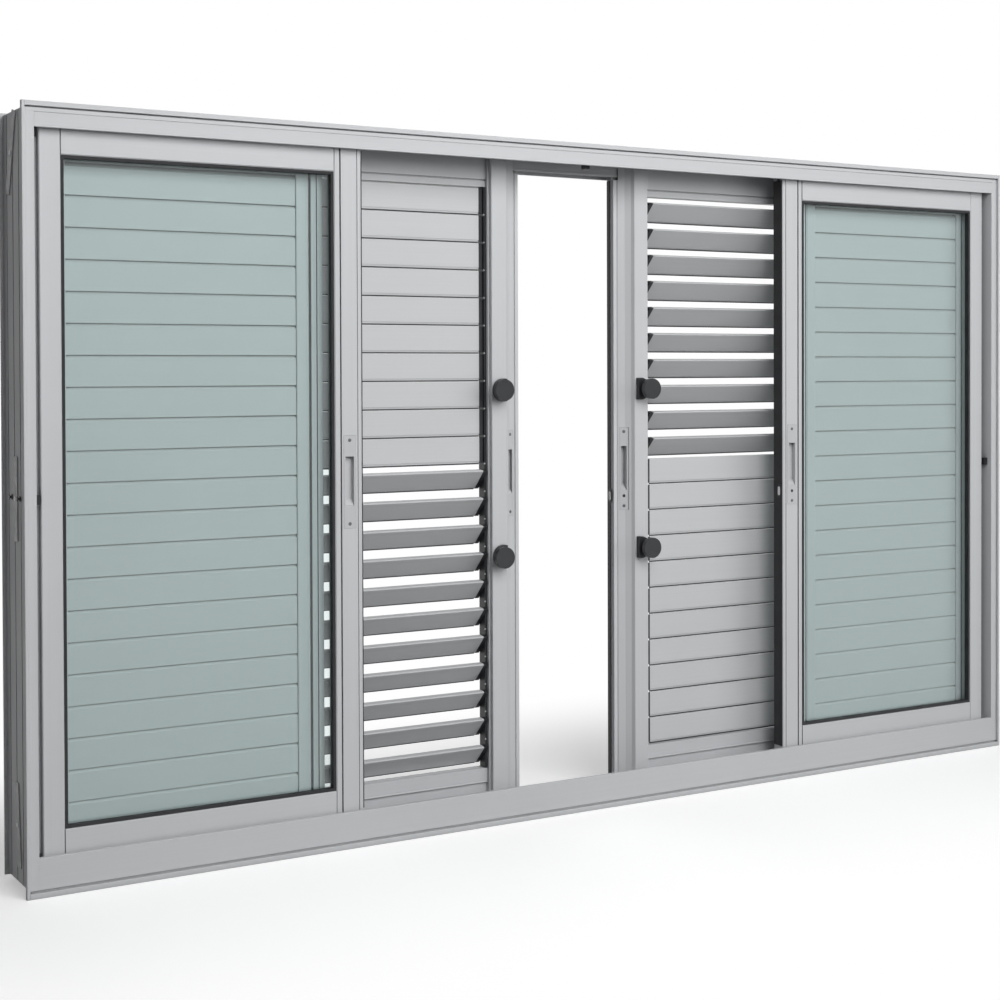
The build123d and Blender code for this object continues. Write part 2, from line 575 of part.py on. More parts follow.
# Sliding shutters in the rear track. Their slats turn in two groups about square-ended pins.
leaf_slot = (shutter_rail_deep - slot_half, shutter_rail_deep + slot_half)
leaf_slot_low = head_shutter_rail_low - leaf_slot_rise
top_edge = leaf_first_edge + slat_count * slat_pitch + lip_gap
strip_low = leaf_first_edge - leaf_bottom_gap + strip_gap
for side, word in ((-1, "left"), (1, "right")):
    lead_out = lead_outs[side]
    leaf_outer_out = lead_out + leaf_wide
    bay = (lead_out + ledge_end, leaf_outer_out - leaf_outer_wide)
    with BuildPart() as shutter_outer_stile:
        outs = (bay[1], leaf_outer_out)
        block(side, outs, (leaf_front, leaf_back), (leaf_low, leaf_high))
        cut_slots(side, outs, leaf_slot, leaf_low, sill_shutter_rail_high, leaf_slot_low, leaf_high)
    keep("shutter_" + word + "_outer_stile", shutter_outer_stile)

    with BuildPart() as shutter_meeting_stile:
        stile = [(0, leaf_back), (0, lip_deep), (lip_wide, lip_deep)]
        stile += [(lip_wide + 0.6, lip_deep + groove_deep), (lip_groove_end - 1.5, lip_deep + groove_deep)]
        stile += [(lip_groove_end, lip_deep)]
        stile += [slope_low, slope_high, (knob_face_start, knob_face_deep), (knob_face_end, knob_face_deep)]
        stile += [(knob_face_end, ledge_deep), (ledge_end, ledge_deep), (ledge_end, leaf_back)]
        points = [(lead_out + out, deep) for out, deep in stile]
        edges = [(lead_out + knob_face_end, knob_face_deep, knob_face_slope)]
        bar_upright(points, side, leaf_low, leaf_high, sloped=edges)
        outs = (lead_out, bay[0])
        cut_slots(side, outs, leaf_slot, leaf_low, sill_shutter_rail_high, leaf_slot_low, leaf_high)

        # The pull's plate carries on the flatter part of the slope, in a rebate of its own.
        fall = (slope_low[1] - lip_deep) / (slope_low[0] - lip_groove_end)
        plate = []
        for out in (leaf_pull_start, leaf_pull_end):
            plate.append((lead_out + out, lip_deep + fall * (out - lip_groove_end)))
        floor = [(out, deep + pull_thick) for out, deep in plate]
        first, last = floor[0], floor[1]
        cut = [(first[0] - pull_gap, first[1]), (first[0] - pull_gap, knob_face_deep)]
        cut += [(last[0] + pull_gap, knob_face_deep), (last[0] + pull_gap, last[1]), last, first]
        heights = (pull_low - pull_gap, pull_high + pull_gap)
        bar_upright(cut, side, *heights, mode=Mode.SUBTRACT)
        pocket_outs = (lead_out + leaf_pocket_start, lead_out + leaf_pocket_end)
        finger_pocket(side, pocket_outs, slope_low[1], leaf_pocket_deep)
    keep("shutter_" + word + "_meeting_stile", shutter_meeting_stile)

    with BuildPart() as shutter_pull:
        bar_upright(plate + floor[::-1], side, pull_low, pull_high)
        finger_pocket(side, pocket_outs, slope_low[1], leaf_pocket_deep)
    keep("shutter_" + word + "_pull", shutter_pull)

    ends = ends_of(side, bay)
    front, back = leaf_rail_front, leaf_rail_back
    with BuildPart() as shutter_top_rail:
        groove_low = leaf_high - 43.4
        top = [(front + 1, top_edge), (front + 1, groove_low), (front + 3, groove_low)]
        top += [(front + 3, groove_low + 2.8), (front, groove_low + 2.8), (front, leaf_high)]
        top += [(leaf_slot[0], leaf_high), (leaf_slot[0], leaf_slot_low), (leaf_slot[1], leaf_slot_low)]
        top += [(leaf_slot[1], leaf_high), (back, leaf_high), (back, top_edge)]
        bar_across(top, *ends)
    keep("shutter_" + word + "_top_rail", shutter_top_rail)

    with BuildPart() as shutter_bottom_rail:
        rail_high = leaf_first_edge - leaf_bottom_gap
        nose = leaf_low + 32.5
        low = [(front, nose + 2.5), (front, rail_high), (back, rail_high), (back, leaf_low)]
        low += [(leaf_slot[1], leaf_low), (leaf_slot[1], sill_shutter_rail_high)]
        low += [(leaf_slot[0], sill_shutter_rail_high), (leaf_slot[0], leaf_low), (front + 3, leaf_low)]
        low += [(front + 3, nose), (front, nose), (front - 1.5, nose + 0.7), (front - 1.5, nose + 1.9)]
        bar_across(low, *ends)
    keep("shutter_" + word + "_bottom_rail", shutter_bottom_rail)

    # Pivot strips against both stiles, with a row of holes for the pins of the end caps.
    strips = ((bay[0] + strip_gap, 1), (bay[1] - strip_gap, -1))
    with BuildPart() as shutter_pivot_strips:
        for start, inward in strips:
            end = start + inward * strip_wide
            heights = (strip_low, top_edge - strip_gap)
            block(side, (start, end), (strip_front, strip_back), heights)
            middle = leaf_first_edge + slat_count * slat_pitch / 2
            outward = (side * inward, 0, 0)
            face = Plane((at_x(end, side), at_y(pin_deep), middle), x_dir=(0, 1, 0), z_dir=outward)
            with BuildSketch(face) as drawn:
                with GridLocations(pin_hole_wide, slat_pitch, 1, slat_count):
                    Rectangle(pin_hole_wide, pin_hole_wide)
            extrude(drawn.sketch, amount=-pin_hole_deep, mode=Mode.SUBTRACT)
    keep("shutter_" + word + "_pivot_strips", shutter_pivot_strips)

    cap_start = strip_gap + strip_wide + end_gap
    slat_outs = (bay[0] + cap_start + cap_wide, bay[1] - cap_start - cap_wide)
    slat_ends = ends_of(side, slat_outs)
    lower_tilt = slat_open if side < 0 else 0.0
    tilts = [lower_tilt] * lower_count + [slat_open - lower_tilt] * (slat_count - lower_count)
    heights = [leaf_first_edge + (index + 0.5) * slat_pitch for index in range(slat_count)]
    groups = (("lower", range(lower_count)), ("upper", range(lower_count, slat_count)))
    for level, group in groups:
        with BuildPart() as leaf_slats:
            slats = [turned(turning_profile, pin_deep, heights[index], tilts[index]) for index in group]
            bars_across(slats, *slat_ends)
        keep("shutter_" + word + "_" + level + "_slats", leaf_slats)

    # Seals under the slats, and an end cap with its pin at each end of every slat.
    with BuildPart() as slat_trims:
        stands = list(zip(heights, tilts))
        seals = [turned(seal_profile, pin_deep, height, tilt) for height, tilt in stands]
        caps = [turned(cap_profile, pin_deep, height, tilt) for height, tilt in stands]
        pins = [turned(pin_profile, pin_deep, height, tilt) for height, tilt in stands]
        bars_across(seals, slat_ends[0] + seal_short, slat_ends[1] - seal_short)
        for end, outward in ((slat_ends[0], -1), (slat_ends[1], 1)):
            cap_end = end + outward * cap_wide
            pin_end = cap_end + outward * pin_long
            bars_across(caps, *sorted((end, cap_end)))
            bars_across(pins, *sorted((cap_end, pin_end)))
    keep("shutter_" + word + "_slat_trims", slat_trims)

    # Knobs: a half-round base with its flat side towards the leading edge, a neck and a disc.
    for level, high in knob_heights.items():
        with BuildPart() as knob:
            place = (at_x(lead_out + base_middle, side), at_y(knob_face_deep), high)
            with BuildSketch(Plane(place, x_dir=(1, 0, 0), z_dir=(0, -1, 0))) as drawn:
                Circle(base_radius)
                with Locations((side * (base_start - base_middle - base_radius), 0)):
                    Rectangle(2 * base_radius, 2 * base_radius, mode=Mode.SUBTRACT)
            extrude(drawn.sketch, amount=knob_face_deep - base_front)
            disc_back = knob_disc_front + knob_disc_thick
            place = (at_x(lead_out + knob_middle, side), at_y(base_front), high)
            with BuildSketch(Plane(place, x_dir=(1, 0, 0), z_dir=(0, -1, 0))) as drawn:
                Rectangle(knob_neck_wide, knob_neck_wide)
                chamfer(drawn.vertices(), knob_neck_wide / 4)
            extrude(drawn.sketch, amount=base_front - disc_back)
            place = (at_x(lead_out + knob_middle, side), at_y(disc_back), high)
            with BuildSketch(Plane(place, x_dir=(1, 0, 0), z_dir=(0, -1, 0))) as drawn:
                Circle(knob_disc_radius)
            extrude(drawn.sketch, amount=knob_disc_thick)
        keep("shutter_" + word + "_" + level + "_knob", knob)

# Black edge seals on the leading edges of the sliding shutters and the glass sashes.
with BuildPart() as edge_seals:
    for side in (-1, 1):
        lead_out = lead_outs[side]
        deeps = (leaf_seal_front, leaf_back - seal_end_gap)
        heights = (leaf_low + seal_foot_gap, leaf_slot_low - seal_end_gap)
        block(side, (lead_out - seal_thick, lead_out), deeps, heights)
        deeps = (sash_front + bar_edge_slope, sash_back - seal_end_gap)
        heights = (sill_face_high, sash_slot_low - seal_end_gap)
        block(side, (sash_lead_out - seal_thick, sash_lead_out), deeps, heights)
keep("edge_seals", edge_seals)
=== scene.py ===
import bpy
import bmesh
from math import radians
from mathutils import Matrix, Vector


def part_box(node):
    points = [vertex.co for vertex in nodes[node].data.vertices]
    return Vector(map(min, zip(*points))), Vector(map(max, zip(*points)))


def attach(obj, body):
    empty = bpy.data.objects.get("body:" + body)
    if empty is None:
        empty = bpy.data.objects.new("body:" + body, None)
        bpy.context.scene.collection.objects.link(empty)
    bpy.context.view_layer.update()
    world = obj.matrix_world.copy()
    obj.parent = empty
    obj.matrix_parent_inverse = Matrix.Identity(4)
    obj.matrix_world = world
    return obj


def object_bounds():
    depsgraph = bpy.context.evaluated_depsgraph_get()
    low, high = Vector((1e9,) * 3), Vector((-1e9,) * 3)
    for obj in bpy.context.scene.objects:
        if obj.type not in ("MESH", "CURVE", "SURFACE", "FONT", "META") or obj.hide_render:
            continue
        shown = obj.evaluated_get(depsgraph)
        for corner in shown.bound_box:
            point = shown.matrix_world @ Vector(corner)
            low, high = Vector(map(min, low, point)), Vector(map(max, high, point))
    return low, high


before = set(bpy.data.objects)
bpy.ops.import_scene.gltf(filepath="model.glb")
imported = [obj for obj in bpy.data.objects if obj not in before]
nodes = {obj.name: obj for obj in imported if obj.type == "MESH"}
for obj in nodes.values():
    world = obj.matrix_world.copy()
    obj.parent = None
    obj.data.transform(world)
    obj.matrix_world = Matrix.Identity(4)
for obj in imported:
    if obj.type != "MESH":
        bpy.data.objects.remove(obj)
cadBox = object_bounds()
print("frame loaded, nodes:", len(nodes))


# Node helpers.

def newGroup(name, inputs, outputs):
    group = bpy.data.node_groups.new(name, "ShaderNodeTree")
    for way, sockets in (("INPUT", inputs), ("OUTPUT", outputs)):
        for label, kind in sockets:
            group.interface.new_socket(label, in_out=way, socket_type=kind)
    return group, group.nodes.new("NodeGroupInput"), group.nodes.new("NodeGroupOutput")


def addNode(tree, kind, **settings):
    made = tree.nodes.new(kind)
    for key, value in settings.items():
        setattr(made, key, value)
    return made


def noiseOn(tree, vector, scale, detail=2.0, roughness=0.5):
    made = addNode(tree, "ShaderNodeTexNoise")
    made.inputs["Scale"].default_value = scale
    made.inputs["Detail"].default_value = detail
    made.inputs["Roughness"].default_value = roughness
    tree.links.new(vector, made.inputs["Vector"])
    return made.outputs["Fac"]


def mapRange(tree, value, low, high, toLow, toHigh, curve="LINEAR"):
    made = addNode(tree, "ShaderNodeMapRange", interpolation_type=curve)
    for key, number in zip(("From Min", "From Max", "To Min", "To Max"), (low, high, toLow, toHigh)):
        made.inputs[key].default_value = number
    tree.links.new(value, made.inputs["Value"])
    return made.outputs[0]


noiseRange = (0.3, 0.7)  # most values of a noise texture lie between these


def fromNoise(tree, noise, toLow, toHigh):
    return mapRange(tree, noise, *noiseRange, toLow, toHigh)


def mathOn(tree, operation, a, b=0.0):
    made = addNode(tree, "ShaderNodeMath", operation=operation)
    for socket, value in zip(made.inputs, (a, b)):
        if isinstance(value, (int, float)):
            socket.default_value = value
        else:
            tree.links.new(value, socket)
    return made.outputs[0]


def stretched(tree, vector, scale):
    made = addNode(tree, "ShaderNodeMapping")
    made.inputs["Scale"].default_value = scale
    tree.links.new(vector, made.inputs["Vector"])
    return made.outputs["Vector"]


def shadedColor(tree, color, shade):
    # a colour, given as values or as a socket, times a shade
    made = addNode(tree, "ShaderNodeVectorMath", operation="SCALE")
    if isinstance(color, tuple):
        made.inputs[0].default_value = color
    else:
        tree.links.new(color, made.inputs[0])
    tree.links.new(shade, made.inputs["Scale"])
    return made.outputs[0]


bumpDepth = 0.0002
edgeSamples = 4


def bumpFrom(tree, height, shader, strength):
    bump = addNode(tree, "ShaderNodeBump")
    bump.inputs["Strength"].default_value = strength
    bump.inputs["Distance"].default_value = bumpDepth
    tree.links.new(height, bump.inputs["Height"])
    tree.links.new(bump.outputs["Normal"], shader.inputs["Normal"])
    return bump


def softenEdges(tree, bump, radius):
    edge = addNode(tree, "ShaderNodeBevel", samples=edgeSamples)
    edge.inputs["Radius"].default_value = radius
    tree.links.new(edge.outputs["Normal"], bump.inputs["Normal"])


def startMaterial(name):
    material = bpy.data.materials.new(name)
    material.use_nodes = True
    tree = material.node_tree
    shader = tree.nodes["Principled BSDF"]
    coordinates = addNode(tree, "ShaderNodeTexCoord")
    return material, tree, shader, coordinates.outputs["Object"]


# Satin aluminium.

grainFinish = {
    "lineDetail": 3.0,
    "lineRoughness": 0.6,
    "lineGloss": 1.2,
    "lineHeight": 0.7,
    "cloudScale": 5.0,
    "cloudShade": 0.012,
    "cloudGloss": 0.03,
    "mattScale": 1400.0,
    "mattDetail": 1.0,
    "mattShade": 0.008,
    "mattHeight": 0.3,
}


def buildGrainGroup():
    # drawn lines along one direction, soft clouding of the anodised coat and a fine matt grain
    group, start, end = newGroup(
        "drawnGrain",
        [("Vector", "NodeSocketVector"), ("Lines", "NodeSocketVector"), ("Color", "NodeSocketColor"),
         ("Depth", "NodeSocketFloat"), ("Gloss", "NodeSocketFloat")],
        [("Color", "NodeSocketColor"), ("Roughness", "NodeSocketFloat"), ("Height", "NodeSocketFloat")])
    finish = grainFinish
    lines = noiseOn(group, start.outputs["Lines"], 1.0, finish["lineDetail"], finish["lineRoughness"])
    clouds = noiseOn(group, start.outputs["Vector"], finish["cloudScale"])
    matt = noiseOn(group, start.outputs["Vector"], finish["mattScale"], finish["mattDetail"])
    spread = mathOn(group, "SUBTRACT", lines, 0.5)  # noise swings around one half
    spread = mathOn(group, "MULTIPLY", spread, start.outputs["Depth"])
    cloudPart = fromNoise(group, clouds, -finish["cloudShade"], finish["cloudShade"])
    mattPart = fromNoise(group, matt, -finish["mattShade"], finish["mattShade"])
    shade = mathOn(group, "ADD", mathOn(group, "ADD", spread, cloudPart), mattPart)
    shade = mathOn(group, "ADD", shade, 1.0)
    group.links.new(shadedColor(group, start.outputs["Color"], shade), end.inputs["Color"])
    rough = mathOn(group, "MULTIPLY", spread, finish["lineGloss"])
    rough = mathOn(group, "ADD", start.outputs["Gloss"], rough)
    cloudGloss = fromNoise(group, clouds, -finish["cloudGloss"], finish["cloudGloss"])
    group.links.new(mathOn(group, "ADD", rough, cloudGloss), end.inputs["Roughness"])
    height = mathOn(group, "ADD", mathOn(group, "MULTIPLY", lines, finish["lineHeight"]),
                    mathOn(group, "MULTIPLY", matt, finish["mattHeight"]))
    group.links.new(height, end.inputs["Height"])
    return group


grainGroup = buildGrainGroup()

aluminiumFinish = {
    "frameColor": (0.60, 0.61, 0.625, 1),
    "leafColor": (0.60, 0.61, 0.625, 1),
    "slatColor": (0.60, 0.61, 0.62, 1),
    "pullColor": (0.56, 0.565, 0.575, 1),
    "metallic": 0.06,
    "roughness": 0.42,
    "specular": 0.12,
    "lineDepth": 0.07,
    "lineAlong": 1.5,
    "lineAcross": 420,
    "bump": 0.12,
    "edgeRadius": 0.0007,
    # reach, range and darkest share of the painted shade that ambient occlusion puts in narrow gaps between
    # parts
    "creaseReach": 0.014,
    "creaseFrom": 0.12,
    "creaseTo": 0.62,
    "paintedCreaseShade": 0.22,
    "creaseSamples": 6,
}


def makeAluminium(name, color, direction):
    # direction is the axis that the bar was drawn along
    material, tree, shader, place = startMaterial(name)
    finish = aluminiumFinish
    along, across = finish["lineAlong"], finish["lineAcross"]
    scale = {"x": (along, across, across), "z": (across, across, along)}[direction]
    grain = addNode(tree, "ShaderNodeGroup", node_tree=grainGroup)
    tree.links.new(place, grain.inputs["Vector"])
    tree.links.new(stretched(tree, place, scale), grain.inputs["Lines"])
    grain.inputs["Color"].default_value = color
    grain.inputs["Depth"].default_value = finish["lineDepth"]
    grain.inputs["Gloss"].default_value = finish["roughness"]
    # painted shade: ambient occlusion darkens the colour in narrow gaps between parts, where shade falls
    crease = addNode(tree, "ShaderNodeAmbientOcclusion", samples=finish["creaseSamples"])
    crease.inputs["Distance"].default_value = finish["creaseReach"]
    depth = mapRange(tree, crease.outputs["AO"], finish["creaseFrom"], finish["creaseTo"],
                     finish["paintedCreaseShade"], 1.0)
    tree.links.new(shadedColor(tree, grain.outputs["Color"], depth), shader.inputs["Base Color"])
    tree.links.new(grain.outputs["Roughness"], shader.inputs["Roughness"])
    shader.inputs["Metallic"].default_value = finish["metallic"]
    shader.inputs["Specular IOR Level"].default_value = finish["specular"]
    bump = bumpFrom(tree, grain.outputs["Height"], shader, finish["bump"])
    softenEdges(tree, bump, finish["edgeRadius"])
    return material


# Black rubber and plastic.

blackFinish = {
    "sealRubber": {"color": (0.018, 0.018, 0.02), "roughness": 0.6, "rim": 0.0},
    "stopRubber": {"color": (0.016, 0.016, 0.018), "roughness": 0.65, "rim": 0.0},
    "knobPlastic": {"color": (0.022, 0.023, 0.026), "roughness": 0.42, "rim": 0.0016},
    "grainScale": 700.0,
    "grainDetail": 3.0,
    "grainGloss": 0.08,
    "streakScale": 30.0,
    "streakDark": 0.85,
    "streakLight": 1.2,
    "bump": 0.35,
}


def makeBlack(name):
    material, tree, shader, place = startMaterial(name)
    own, finish = blackFinish[name], blackFinish
    streak = noiseOn(tree, place, finish["streakScale"])
    shade = fromNoise(tree, streak, finish["streakDark"], finish["streakLight"])
    tree.links.new(shadedColor(tree, own["color"], shade), shader.inputs["Base Color"])
    grain = noiseOn(tree, place, finish["grainScale"], finish["grainDetail"])
    rough = fromNoise(tree, grain, own["roughness"] - finish["grainGloss"],
                      own["roughness"] + finish["grainGloss"])
    tree.links.new(rough, shader.inputs["Roughness"])
    bump = bumpFrom(tree, grain, shader, finish["bump"])
    if own["rim"]:
        softenEdges(tree, bump, own["rim"])
    return material


# Zinc-coated steel.

steelFinish = {
    "strapSteel": {"color": (0.34, 0.345, 0.355), "spangleScale": 90.0, "metallic": 0.1},
    "screwSteel": {"color": (0.52, 0.53, 0.54), "spangleScale": 700.0, "metallic": 0.4},
    "dullSteel": {"color": (0.17, 0.175, 0.185), "spangleScale": 700.0, "metallic": 0.2},
    "shadeLow": 0.82,
    "shadeHigh": 1.08,
    "spangleReach": 0.8,
    "roughLow": 0.35,
    "roughHigh": 0.55,
    "grainScale": 600.0,
    "bump": 0.2,
}


def makeSteel(name):
    material, tree, shader, place = startMaterial(name)
    own, finish = steelFinish[name], steelFinish
    spangle = addNode(tree, "ShaderNodeTexVoronoi")
    spangle.inputs["Scale"].default_value = own["spangleScale"]
    tree.links.new(place, spangle.inputs["Vector"])
    shade = mapRange(tree, spangle.outputs["Color"], 0.0, 1.0, finish["shadeLow"], finish["shadeHigh"])
    tree.links.new(shadedColor(tree, own["color"], shade), shader.inputs["Base Color"])
    rough = mapRange(tree, spangle.outputs["Distance"], 0.0, finish["spangleReach"],
                     finish["roughLow"], finish["roughHigh"])
    tree.links.new(rough, shader.inputs["Roughness"])
    shader.inputs["Metallic"].default_value = own["metallic"]
    bumpFrom(tree, noiseOn(tree, place, finish["grainScale"]), shader, finish["bump"])
    return material


# White nylon of the catch tongues.

nylonFinish = {
    "color": (0.78, 0.79, 0.80),
    "mottleScale": 300.0,
    "mottleDark": 0.94,
    "mottleLight": 1.04,
    "grainScale": 900.0,
    "roughLow": 0.4,
    "roughHigh": 0.55,
}


def makeNylon(name):
    material, tree, shader, place = startMaterial(name)
    finish = nylonFinish
    mottle = noiseOn(tree, place, finish["mottleScale"])
    shade = fromNoise(tree, mottle, finish["mottleDark"], finish["mottleLight"])
    tree.links.new(shadedColor(tree, finish["color"], shade), shader.inputs["Base Color"])
    grain = noiseOn(tree, place, finish["grainScale"])
    rough = fromNoise(tree, grain, finish["roughLow"], finish["roughHigh"])
    tree.links.new(rough, shader.inputs["Roughness"])
    return material


# Pane glass.

glassFinish = {
    "tint": (0.83, 0.90, 0.89),
    "passing": (0.90, 0.95, 0.945, 1),
    "bending": 1.5,
    "cloudScale": 2.2,
    "cloudDark": 0.985,
}


def makeGlass(name):
    material, tree, shader, place = startMaterial(name)
    finish = glassFinish
    shade = fromNoise(tree, noiseOn(tree, place, finish["cloudScale"]), finish["cloudDark"], 1.0)
    tree.links.new(shadedColor(tree, finish["tint"], shade), shader.inputs["Base Color"])
    shader.inputs["Transmission Weight"].default_value = 1.0
    shader.inputs["IOR"].default_value = finish["bending"]
    shader.inputs["Roughness"].default_value = 0.0
    # lamp light and bounced light go straight through the pane, so the slats behind it are lit evenly
    path = addNode(tree, "ShaderNodeLightPath")
    passing = mathOn(tree, "MAXIMUM", path.outputs["Is Shadow Ray"], path.outputs["Is Diffuse Ray"])
    clear = addNode(tree, "ShaderNodeBsdfTransparent")
    clear.inputs["Color"].default_value = finish["passing"]
    mixed = addNode(tree, "ShaderNodeMixShader")
    tree.links.new(passing, mixed.inputs[0])
    tree.links.new(shader.outputs[0], mixed.inputs[1])
    tree.links.new(clear.outputs[0], mixed.inputs[2])
    tree.links.new(mixed.outputs[0], tree.nodes["Material Output"].inputs["Surface"])
    return material


frameAcross = makeAluminium("frameAluminiumAcross", aluminiumFinish["frameColor"], "x")
frameUpright = makeAluminium("frameAluminiumUpright", aluminiumFinish["frameColor"], "z")
leafAcross = makeAluminium("leafAluminiumAcross", aluminiumFinish["leafColor"], "x")
leafUpright = makeAluminium("leafAluminiumUpright", aluminiumFinish["leafColor"], "z")
slatMetal = makeAluminium("slatAluminium", aluminiumFinish["slatColor"], "x")
pullMetal = makeAluminium("pullAluminium", aluminiumFinish["pullColor"], "z")
sealRubber = makeBlack("sealRubber")
stopRubber = makeBlack("stopRubber")
knobPlastic = makeBlack("knobPlastic")
strapSteel = makeSteel("strapSteel")
screwSteel = makeSteel("screwSteel")
dullSteel = makeSteel("dullSteel")
whiteNylon = makeNylon("whiteNylon")
paneGlass = makeGlass("paneGlass")


def finishFor(name):
    if name == "frame_straps":
        return strapSteel
    if name == "frame_stops":
        return stopRubber
    if name.endswith("_pane"):
        return paneGlass
    if name.endswith("_gasket") or name == "edge_seals":
        return sealRubber
    if name.endswith(("_pivot_strips", "_knob", "_slat_trims")):
        return knobPlastic
    if name.endswith("_pull"):
        return pullMetal
    if name.endswith("_slats"):
        return slatMetal
    if name in ("frame_head", "frame_sill"):
        return frameAcross
    if name.startswith("frame_jamb"):
        return frameUpright
    if name.endswith("_rail"):
        return leafAcross
    return leafUpright


for name, piece in nodes.items():
    for entry in piece.material_slots:
        entry.material = finishFor(name)
    if not piece.material_slots:
        piece.data.materials.append(finishFor(name))
print("finishes set")


# Small fasteners and catches that the CAD leaves out, in metres.

def faceOn(place, normal):
    # turns a piece that is built lying on the ground so that it stands on a face
    turn = Vector(normal).normalized().to_track_quat("Z", "Y")
    return Matrix.Translation(place) @ turn.to_matrix().to_4x4()


def placeNew(bm, before, matrix):
    # moves every vertex that was made after the set before was taken
    fresh = [vert for vert in bm.verts if vert not in before]
    bmesh.ops.transform(bm, matrix=matrix, verts=fresh)


def finishPiece(bm, name, material):
    bmesh.ops.recalc_face_normals(bm, faces=bm.faces)
    mesh = bpy.data.meshes.new(name)
    bm.to_mesh(mesh)
    bm.free()
    mesh.materials.append(material)
    piece = bpy.data.objects.new(name, mesh)
    bpy.context.scene.collection.objects.link(piece)
    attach(piece, "root")


rimShare = 0.6  # of a stud's height or radius, whichever is less


def addStud(bm, matrix, radius, high, sides, stretch=0.0, steps=2):
    # a round or long-round button with a softened rim
    before = set(bm.verts)
    turn = Matrix.Rotation(radians(180 / sides), 4, "Z")
    made = bmesh.ops.create_circle(bm, cap_ends=True, segments=sides, radius=radius, matrix=turn)
    for vert in made["verts"]:
        vert.co.y += stretch if vert.co.y > 0 else -stretch
    base = made["verts"][0].link_faces[0]
    raised = bmesh.ops.extrude_face_region(bm, geom=[base])["geom"]
    top = [part for part in raised if isinstance(part, bmesh.types.BMFace)]
    verts = [part for part in raised if isinstance(part, bmesh.types.BMVert)]
    bmesh.ops.translate(bm, verts=verts, vec=(0, 0, high))
    bmesh.ops.bevel(bm, geom=list(top[0].edges), offset=min(high, radius) * rimShare, offset_type="OFFSET",
                    segments=steps, profile=0.5, affect="EDGES", material=-1)
    placeNew(bm, before, matrix)


screwHead = {
    "radius": 0.0030,
    "high": 0.0008,
    "sides": 20,
    "rings": ((1.0, 0.0), (0.97, 0.45), (0.86, 0.85), (0.76, 1.0)),  # shares of radius and height
    "crossWide": 0.0008,
    "crossLong": 0.0036,
    "crossDeep": 0.0005,
}


def addScrew(bm, matrix):
    # a low domed head with a cross recess
    before = set(bm.verts)
    loops = []
    for share, rise in screwHead["rings"]:
        ring = bmesh.ops.create_circle(bm, cap_ends=rise == 0, segments=screwHead["sides"],
                                       radius=screwHead["radius"] * share,
                                       matrix=Matrix.Translation((0, 0, screwHead["high"] * rise)))
        loops.append(ring["verts"])
    edgesOf = [{edge for vert in loop for edge in vert.link_edges} for loop in loops]
    for lower, upper in zip(edgesOf, edgesOf[1:]):
        bmesh.ops.bridge_loops(bm, edges=list(lower | upper))
    near, far = screwHead["crossWide"] / 2, screwHead["crossLong"] / 2
    outline = []
    for quarter in range(4):
        turn = Matrix.Rotation(radians(-90 * quarter), 2)
        outline += [turn @ Vector(point) for point in ((near, far), (near, near), (far, near))]
    cross = [bm.verts.new((point.x, point.y, screwHead["high"])) for point in outline]
    crossEdges = [bm.edges.new(pair) for pair in zip(cross, cross[1:] + cross[:1])]
    topRing = [edge for edge in edgesOf[-1] if all(vert in loops[-1] for vert in edge.verts)]
    bmesh.ops.triangle_fill(bm, use_beauty=True, edges=topRing + crossEdges)
    sunk = bmesh.ops.extrude_edge_only(bm, edges=crossEdges)["geom"]
    low = [part for part in sunk if isinstance(part, bmesh.types.BMVert)]
    floor = [part for part in sunk if isinstance(part, bmesh.types.BMEdge)]
    bmesh.ops.translate(bm, verts=low, vec=(0, 0, -screwHead["crossDeep"]))
    bmesh.ops.edgeloop_fill(bm, edges=[edge for edge in floor if all(vert in low for vert in edge.verts)])
    placeNew(bm, before, matrix)


pulls = {
    "plateThick": 0.0012,
    "screwInset": 0.0076,
    "keyRise": 0.0265,
    "keyRadius": 0.0030,
    "keyHigh": 0.0003,
    "keySides": 16,
}


def pullSpot(node, high):
    # a point on the front of a pull's plate at a height, and the way that it faces
    low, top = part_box(node)
    run = top[0] - low[0]
    fall = top[1] - low[1] - pulls["plateThick"]
    middle = (low[0] + top[0]) / 2
    lean = -fall / run if middle > 0 else fall / run
    place = (middle, (low[1] + top[1] - pulls["plateThick"]) / 2, high)
    return place, (lean, -1, 0)


def makePullScrews():
    # two screws on each pull, and a keyhole on the two pulls at the right
    screws, keys = bmesh.new(), bmesh.new()
    for leaf in ("sash", "shutter"):
        for word in ("left", "right"):
            node = leaf + "_" + word + "_pull"
            low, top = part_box(node)
            for high in (low[2] + pulls["screwInset"], top[2] - pulls["screwInset"]):
                addScrew(screws, faceOn(*pullSpot(node, high)))
            if word == "right":
                spot = faceOn(*pullSpot(node, low[2] + pulls["keyRise"]))
                addStud(keys, spot, pulls["keyRadius"], pulls["keyHigh"], pulls["keySides"], steps=1)
    finishPiece(screws, "pullScrews", dullSteel)
    finishPiece(keys, "pullKeyholes", knobPlastic)


catches = {
    "middleHigh": 0.5575,
    "ringRadius": 0.0056,
    "ringStretch": 0.0078,
    "ringHigh": 0.0009,
    "ringSides": 24,
    "tongueRadius": 0.0030,
    "tongueStretch": 0.0056,
    "tongueHigh": 0.0008,
    "tongueSides": 20,
    "sashInset": 0.0045,
    "sealThick": 0.0018,
    "leafInset": 0.0100,
}


